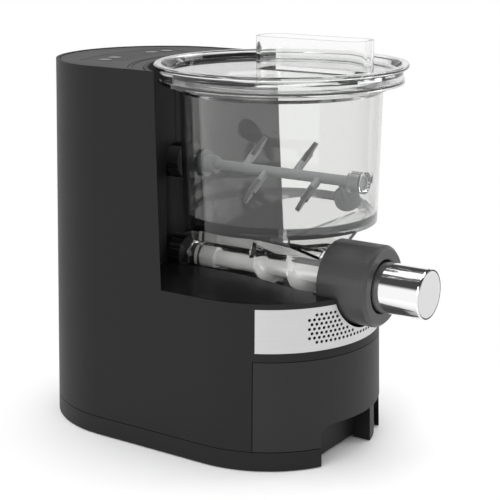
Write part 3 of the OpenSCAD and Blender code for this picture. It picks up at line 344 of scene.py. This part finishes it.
# ---- Top cover and controls ----
# A satin deck sunk into the housing's rim, with a glossy control panel, four flush keys
# and a smoked display window.
black_satin = moulded("black_satin", (0.03, 0.03, 0.0305), 0.4, grain_scale=2200.0,
                      grain_depth=0.000008, specular=0.05)
black_gloss = moulded("black_gloss", (0.01, 0.01, 0.0105), 0.3, grain_scale=300.0,
                      grain_depth=0.000002, specular=0.01)
edged("top_cover", "deck_cover", 0.0003, black_satin, segments=2)
edged("control_panel", "key_panel", 0.0002, black_gloss, segments=2)
edged("display_lens", "display_window", 0.0002, black_gloss, segments=2)
key_gloss = moulded("key_gloss", (0.02, 0.02, 0.021), 0.22, grain_scale=900.0,
                    grain_depth=0.000004, specular=0.05)
for key in ("power_button", "program_button", "flour_button", "start_button"):
    edged(key, key + "_cap", 0.0004, key_gloss)


# ---- Base pan, feet and vent ----
# The pan is moulded in the housing's black and screwed on from below, on rubber feet. Its strip
# shows under a fine seam, and its front is cut out for the fingers. The vent clips into the back.
def coat(finish, *names):
    """Gives CAD nodes whose shape stays their finish."""
    for name in names:
        for place in nodes[name].material_slots:
            place.material = finish


edged("base_pan", "base_moulding", 0.0008, black_matte)
foot_rubber = moulded("foot_rubber", (0.02, 0.02, 0.02), 0.8, grain_scale=900.0, grain_depth=0.00003)
coat(foot_rubber, "rubber_feet", "cord_gland", "shaft_seals")
edged("rear_vent", "rear_vent_grille", 0.0003, black_matte, segments=2)


# ---- Drawer ----
# A curved black front on a grey moulded tray, which slides on white runners in a black bay. The
# other black mouldings inside the machine have the same finish as the bay.
drawer_black = moulded("drawer_black", (0.021, 0.021, 0.0215), 0.5, grain_scale=1700.0,
                       grain_depth=0.000018, specular=0.25)
edged("drawer_front", "drawer_face", 0.0008, drawer_black)
tray_grey = moulded("tray_grey", (0.3, 0.31, 0.33), 0.45, grain_scale=1400.0, grain_depth=0.00001)
edged("drawer_tray", "drawer_box", 0.0005, tray_grey, segments=2)
runner_white = moulded("runner_white", (0.7, 0.7, 0.68), 0.4, grain_scale=800.0, grain_depth=0.000008)
coat(runner_white, "drawer_runners", "lid_switch_plunger")
coat(black_matte, "drawer_bay", "motor_cradle", "drying_fan_frames", "drying_fan_left",
     "drying_fan_right", "cooling_fan")


# ---- Front plate ----
# Thin stainless sheet, brushed from side to side, punched with rows of small holes and set into
# the housing's front.
def brushed_surface():
    """Worked metal: fine lines along one direction, by stretching the coordinates."""
    group, given = surface_group("brushed_surface", {
        "Colour": (0.6, 0.6, 0.6, 1.0), "Shade Spread": 0.2, "Roughness": 0.3,
        "Roughness Spread": 0.2, "Line Scale": (20.0, 20.0, 2500.0), "Line Depth": 0.000004,
    })
    where = add_node(group, "ShaderNodeTexCoord").outputs["Object"]
    stretched = add_node(group, "ShaderNodeVectorMath", {0: where, 1: given["Line Scale"]},
                         operation="MULTIPLY").outputs[0]
    lines = add_node(group, "ShaderNodeTexNoise", {
        "Vector": stretched, "Scale": 1.0, "Detail": 4.0, "Roughness": 0.65,
    })
    change = centred(group, lines)
    add_node(group, "NodeGroupOutput", {
        "Colour": shaded(group, given["Colour"], varied(group, change, given["Shade Spread"], 1.0)),
        "Roughness": varied(group, change, given["Roughness Spread"], given["Roughness"]),
        "Normal": raised(group, lines, given["Line Depth"]),
    })
    return group


BRUSHED = brushed_surface()


def worked_metal(name, colour, roughness, line_scale, line_depth=0.000004, shade=0.2, spread=0.2,
                 metallic=1.0):
    """A metal finish on the shared brushing."""
    finish, shader = finish_from(BRUSHED, name, {
        "Colour": (*colour, 1.0), "Shade Spread": shade, "Roughness": roughness,
        "Roughness Spread": spread, "Line Scale": line_scale, "Line Depth": line_depth,
    })
    shader.inputs["Metallic"].default_value = metallic
    return finish


plate_steel = worked_metal("plate_steel", (0.62, 0.62, 0.62), 0.36, (30.0, 30.0, 2600.0))
coat(plate_steel, "front_plate")


# ---- Drive ----
# Cast gearbox with nylon gears on ground shafts in bronze bushes, a zinc plated motor can
# with its rotor, two boards and the lid's switch.
cast_grey = worked_metal("cast_grey", (0.55, 0.56, 0.57), 0.5, (350.0, 350.0, 350.0),
                         line_depth=0.00003, shade=0.15)
coat(cast_grey, "gearbox_housing", "gearbox_cover")
nylon = moulded("nylon", (0.72, 0.69, 0.58), 0.42, grain_scale=900.0, grain_depth=0.00001)
coat(nylon, "auger_gear", "paddle_gear", "idler_gear")
ground_steel = worked_metal("ground_steel", (0.6, 0.6, 0.61), 0.25, (1800.0, 60.0, 1800.0))
coat(ground_steel, "auger_drive_shaft", "paddle_drive_shaft", "idler_axle")
zinc = worked_metal("zinc", (0.58, 0.6, 0.62), 0.38, (120.0, 120.0, 120.0),
                    line_depth=0.00001, shade=0.3, spread=0.3)
coat(zinc, "base_screws", "gearbox_screws", "motor_can")
bronze = worked_metal("bronze", (0.55, 0.38, 0.17), 0.4, (900.0, 900.0, 900.0), line_depth=0.00001)
coat(bronze, "front_bushes", "rear_bushes", "motor_pinion")
winding = worked_metal("winding", (0.5, 0.26, 0.12), 0.4, (1400.0, 40.0, 1400.0), line_depth=0.00004)
coat(winding, "motor_rotor")
board_green = moulded("board_green", (0.02, 0.12, 0.05), 0.35, grain_scale=260.0, shade=0.5)
coat(board_green, "control_board", "power_board")
switch_blue = moulded("switch_blue", (0.02, 0.03, 0.09), 0.45)
coat(switch_blue, "lid_switch")


# ---- Bowl and barrel ----
# Clear shatterproof plastic: a round bowl with a hopper-shaped bottom, joined to a barrel that
# widens towards the front. The band round the bowl's floor is thick; it and the rounded edges are
# painted dark, as painted shade for how clear edges look edge-on.
def clear_surface():
    """Clear plastic: faint smears, as small changes of gloss and of the surface."""
    group, given = surface_group("clear_surface", {
        "Roughness": 0.02, "Smear": 0.03, "Wave Depth": 0.000006,
    }, outputs=("Roughness", "Normal"))
    where = add_node(group, "ShaderNodeTexCoord").outputs["Object"]
    smear = add_node(group, "ShaderNodeTexNoise", {
        "Vector": where, "Scale": 38.0, "Detail": 6.0, "Distortion": 1.5,
    })
    wave = add_node(group, "ShaderNodeTexNoise", {"Vector": where, "Scale": 14.0})
    smeared = add_node(group, "ShaderNodeMapRange", {
        "Value": smear.outputs["Fac"], "From Min": 0.52, "From Max": 0.75,
    }).outputs["Result"]
    add_node(group, "NodeGroupOutput", {
        "Roughness": varied(group, smeared, given["Smear"], given["Roughness"]),
        "Normal": raised(group, wave, given["Wave Depth"]),
    })
    return group


CLEAR = clear_surface()


def clear_plastic(name, tint, painted_edge_shade, edge_power=7.0, specular=0.5):
    """Clear plastic with a faint tint, painted darker edge-on as painted shade for its dark outlines,
    which lets the lamps light what stands behind it.
    """
    finish, shader = finish_from(CLEAR, name, {
        "Roughness": 0.02, "Smear": 0.03, "Wave Depth": 0.000006,
    })
    tree = finish.node_tree
    # The colour darkens as the surface turns edge-on: painted shade for the dark outlines of clear
    # edges.
    edge_on = add_node(tree, "ShaderNodeLayerWeight", {"Blend": 0.5}).outputs["Facing"]
    steep = add_node(tree, "ShaderNodeMath", {0: edge_on, 1: edge_power}, operation="POWER").outputs[0]
    depth = add_node(tree, "ShaderNodeMix", {"Factor": steep, 6: (*tint, 1.0), 7: (*painted_edge_shade, 1.0)},
                     data_type="RGBA")
    tree.links.new(depth.outputs[2], shader.inputs["Base Color"])
    shader.inputs["Transmission Weight"].default_value = 1.0
    shader.inputs["IOR"].default_value = 1.56
    shader.inputs["Specular IOR Level"].default_value = specular
    path = add_node(tree, "ShaderNodeLightPath").outputs
    through = add_node(tree, "ShaderNodeBsdfTransparent", {"Color": (0.9, 0.9, 0.9, 1.0)})
    pick = add_node(tree, "ShaderNodeMixShader", {
        "Fac": path["Is Shadow Ray"], 1: shader.outputs[0], 2: through.outputs[0],
    })
    tree.links.new(pick.outputs[0], tree.nodes["Material Output"].inputs["Surface"])
    return finish


bowl_clear = clear_plastic("bowl_clear", (0.9, 0.905, 0.895), (0.1, 0.105, 0.105), edge_power=4.0)
barrel_clear = clear_plastic("barrel_clear", (0.97, 0.975, 0.97), (0.05, 0.052, 0.052), edge_power=3.0)
# A dark clear colour for rounded edges and the floor band: painted shade for their dark outlines.
clear_edge_painted_shade = clear_plastic("clear_edge_painted_shade", (0.13, 0.133, 0.133), (0.03, 0.032, 0.032))
bowl = edged("bowl", "mixing_bowl", 0.0007, bowl_clear)
barrel = edged("barrel", "auger_barrel", 0.0006, barrel_clear)
# The rounded edges of bowl and barrel take the dark edge colour as painted shade.
for piece in (bowl, barrel):
    painted_edge_place = second_finish(piece, clear_edge_painted_shade)
    piece.modifiers["moulded_radius"].material = painted_edge_place
# The wall is cut at the top of the floor band, so that the band is faces of its own, which are painted
# dark as painted shade.
band_foot, band_top, band_reach, upright = 0.17, 0.1805, 0.055, 0.5
form = bmesh.new()
form.from_mesh(bowl.data)
bmesh.ops.bisect_plane(form, geom=[*form.verts, *form.edges, *form.faces], dist=0.000001,
                       plane_co=(0.0, 0.0, band_top), plane_no=(0.0, 0.0, 1.0))
form.to_mesh(bowl.data)
form.free()
# The floor band's upright faces take the dark edge colour as painted shade.
for face in bowl.data.polygons:
    in_band = all(band_foot < corner.z < band_top + on_wall
                  and (corner.xy - bowl_axis).length > band_reach
                  for corner in corners_of(bowl, face))
    if in_band and abs(face.normal.z) < upright:
        face.material_index = painted_edge_place
silicone_red = moulded("silicone_red", (0.3, 0.05, 0.04), 0.5, grain_scale=600.0)
coat(silicone_red, "outlet_seal")


# ---- Mixing paddle and auger ----
# The paddle is a grey shaft with dark oval blades moulded on. The auger is cast and satin polished,
# with one flight wound round its core.
paddle_grey = moulded("paddle_grey", (0.2, 0.205, 0.21), 0.42, grain_scale=1100.0, grain_depth=0.00001)
blade_dark = moulded("blade_dark", (0.03, 0.031, 0.031), 0.4, grain_scale=1100.0, grain_depth=0.00001)
paddle = edged("mixing_paddle", "paddle", 0.0006, paddle_grey)
blade_finish = second_finish(paddle, blade_dark)
paddle_height, blade_foot = 0.2049, 0.0105
for face in paddle.data.polygons:
    if all(math.hypot(corner.x, corner.z - paddle_height) > blade_foot
           for corner in corners_of(paddle, face)):
        face.material_index = blade_finish
coat(paddle_grey, "paddle_bushes")
auger_pale = worked_metal("auger_pale", (0.95, 0.95, 0.94), 0.16, (700.0, 25.0, 700.0),
                          line_depth=0.000012, shade=0.25, spread=0.15, metallic=0.25)
coat(auger_pale, "auger_shaft", "auger_flight")


# ---- Retaining nut ----
# Moulded in satin black, with soft flats for the hand. It turns on the barrel's mouth and holds
# the outlet tube.
black_nut = moulded("black_nut", (0.05, 0.05, 0.052), 0.4, grain_depth=0.00001)
edged("retaining_nut", "nut", 0.0009, black_nut)


# ---- Outlet tube ----
# Turned, polished and plated, with a fine groove round a satin, gently domed end; the groove is
# painted dark as painted shade. The pasta holes are drilled underneath.
chrome = worked_metal("chrome", (0.93, 0.93, 0.935), 0.07, (60.0, 12.0, 60.0),
                      line_depth=0.000001, shade=0.03, spread=0.05)
satin_chrome = worked_metal("satin_chrome", (0.72, 0.72, 0.725), 0.33, (60.0, 60.0, 60.0),
                            line_depth=0.000002, shade=0.06, spread=0.1)
# The groove's dark colour is painted shade in the groove.
groove_painted_shade = worked_metal("groove_painted_shade", (0.06, 0.06, 0.06), 0.5, (60.0, 60.0, 60.0),
                          line_depth=0.000001, shade=0.03, spread=0.05)
outlet = edged("outlet_tube", "outlet_nozzle", 0.0003, chrome, segments=2)
outlet.modifiers.clear()
satin = second_finish(outlet, satin_chrome)
groove = second_finish(outlet, groove_painted_shade)
# The flat end is cut off and drawn in again ring by ring: radius, place and finish of each.
outlet_height, outlet_rim, outlet_sharp = 0.1319, -0.1632, 38.0
end_rings = (
    (0.018, -0.1629, groove), (0.0174, -0.1629, groove), (0.0171, -0.16335, satin),
    (0.0163, -0.1635, satin), (0.013, -0.1637, satin), (0.009, -0.16384, satin),
    (0.005, -0.16392, satin), (0.002, -0.16395, satin),
)
tube = bmesh.new()
tube.from_mesh(outlet.data)
flat_end = [face for face in tube.faces if all(corner.co.y < outlet_rim for corner in face.verts)]
bmesh.ops.delete(tube, geom=flat_end, context="FACES")
loop = [edge for edge in tube.edges if edge.is_boundary]
for radius, y, finish in end_rings:
    grown = bmesh.ops.extrude_edge_only(tube, edges=loop)["geom"]
    loop = [item for item in grown if isinstance(item, bmesh.types.BMEdge) and item.is_boundary]
    for corner in {corner for edge in loop for corner in edge.verts}:
        spoke = Vector((corner.co.x, corner.co.z - outlet_height)).normalized() * radius
        corner.co = (spoke.x, y, spoke.y + outlet_height)
    for item in grown:
        if isinstance(item, bmesh.types.BMFace):
            item.material_index = finish
for face in bmesh.ops.edgeloop_fill(tube, edges=loop)["faces"]:
    face.material_index = satin
bmesh.ops.recalc_face_normals(tube, faces=tube.faces)
# Extruding leaves the new edges and faces in no fixed order, so they are put in one by their corners.
tube.verts.index_update()
for parts in (tube.edges, tube.faces):
    parts.sort(key=lambda part: sum(corner.index ** 3 for corner in part.verts))
tube.to_mesh(outlet.data)
tube.free()
for face in outlet.data.polygons:
    face.use_smooth = True
outlet.data.set_sharp_from_angle(angle=math.radians(outlet_sharp))
# The polished side gets the normals of a true cylinder, so that its reflections run straight.
outlet_side, side_play = 0.0188, 0.00004
polish = [corner.vector.copy() for corner in outlet.data.corner_normals]
for face in outlet.data.polygons:
    spokes = [Vector((corner.x, 0.0, corner.z - outlet_height)) for corner in corners_of(outlet, face)]
    if all(abs(spoke.length - outlet_side) < side_play for spoke in spokes):
        for corner, spoke in zip(face.loop_indices, spokes):
            polish[corner] = spoke.normalized()
outlet.data.normals_split_custom_set(polish)


# ---- Lid ----
# The same clear plastic as the bowl: a dished plate with a broad rim and a tall feed chute. A dark
# silicone ring seals it on the bowl.
lid_clear = clear_plastic("lid_clear", (0.94, 0.945, 0.94), (0.03, 0.032, 0.032), specular=1.0)
chute_clear = clear_plastic("chute_clear", (0.98, 0.985, 0.98), (0.02, 0.022, 0.022),
                            edge_power=4.5, specular=1.0)
lid = edged("lid", "bowl_lid", 0.0008, lid_clear)
# The lid's rounded edges take the dark edge colour as painted shade for their outlines.
painted_rim_place = second_finish(lid, clear_edge_painted_shade)
chute_finish = second_finish(lid, chute_clear)
lid.modifiers["moulded_radius"].material = painted_rim_place
chute_foot, chute_top = 0.275, 0.3085
# The chute's top faces also take the dark edge colour, as painted shade for their outline.
for face in lid.data.polygons:
    heights = [corner.z for corner in corners_of(lid, face)]
    if min(heights) > chute_top:
        face.material_index = painted_rim_place
    elif min(heights) > chute_foot and max(heights) > chute_top and abs(face.normal.z) < upright:
        face.material_index = chute_finish
silicone_dark = moulded("silicone_dark", (0.03, 0.03, 0.03), 0.45, grain_scale=600.0)
coat(silicone_dark, "lid_seal")
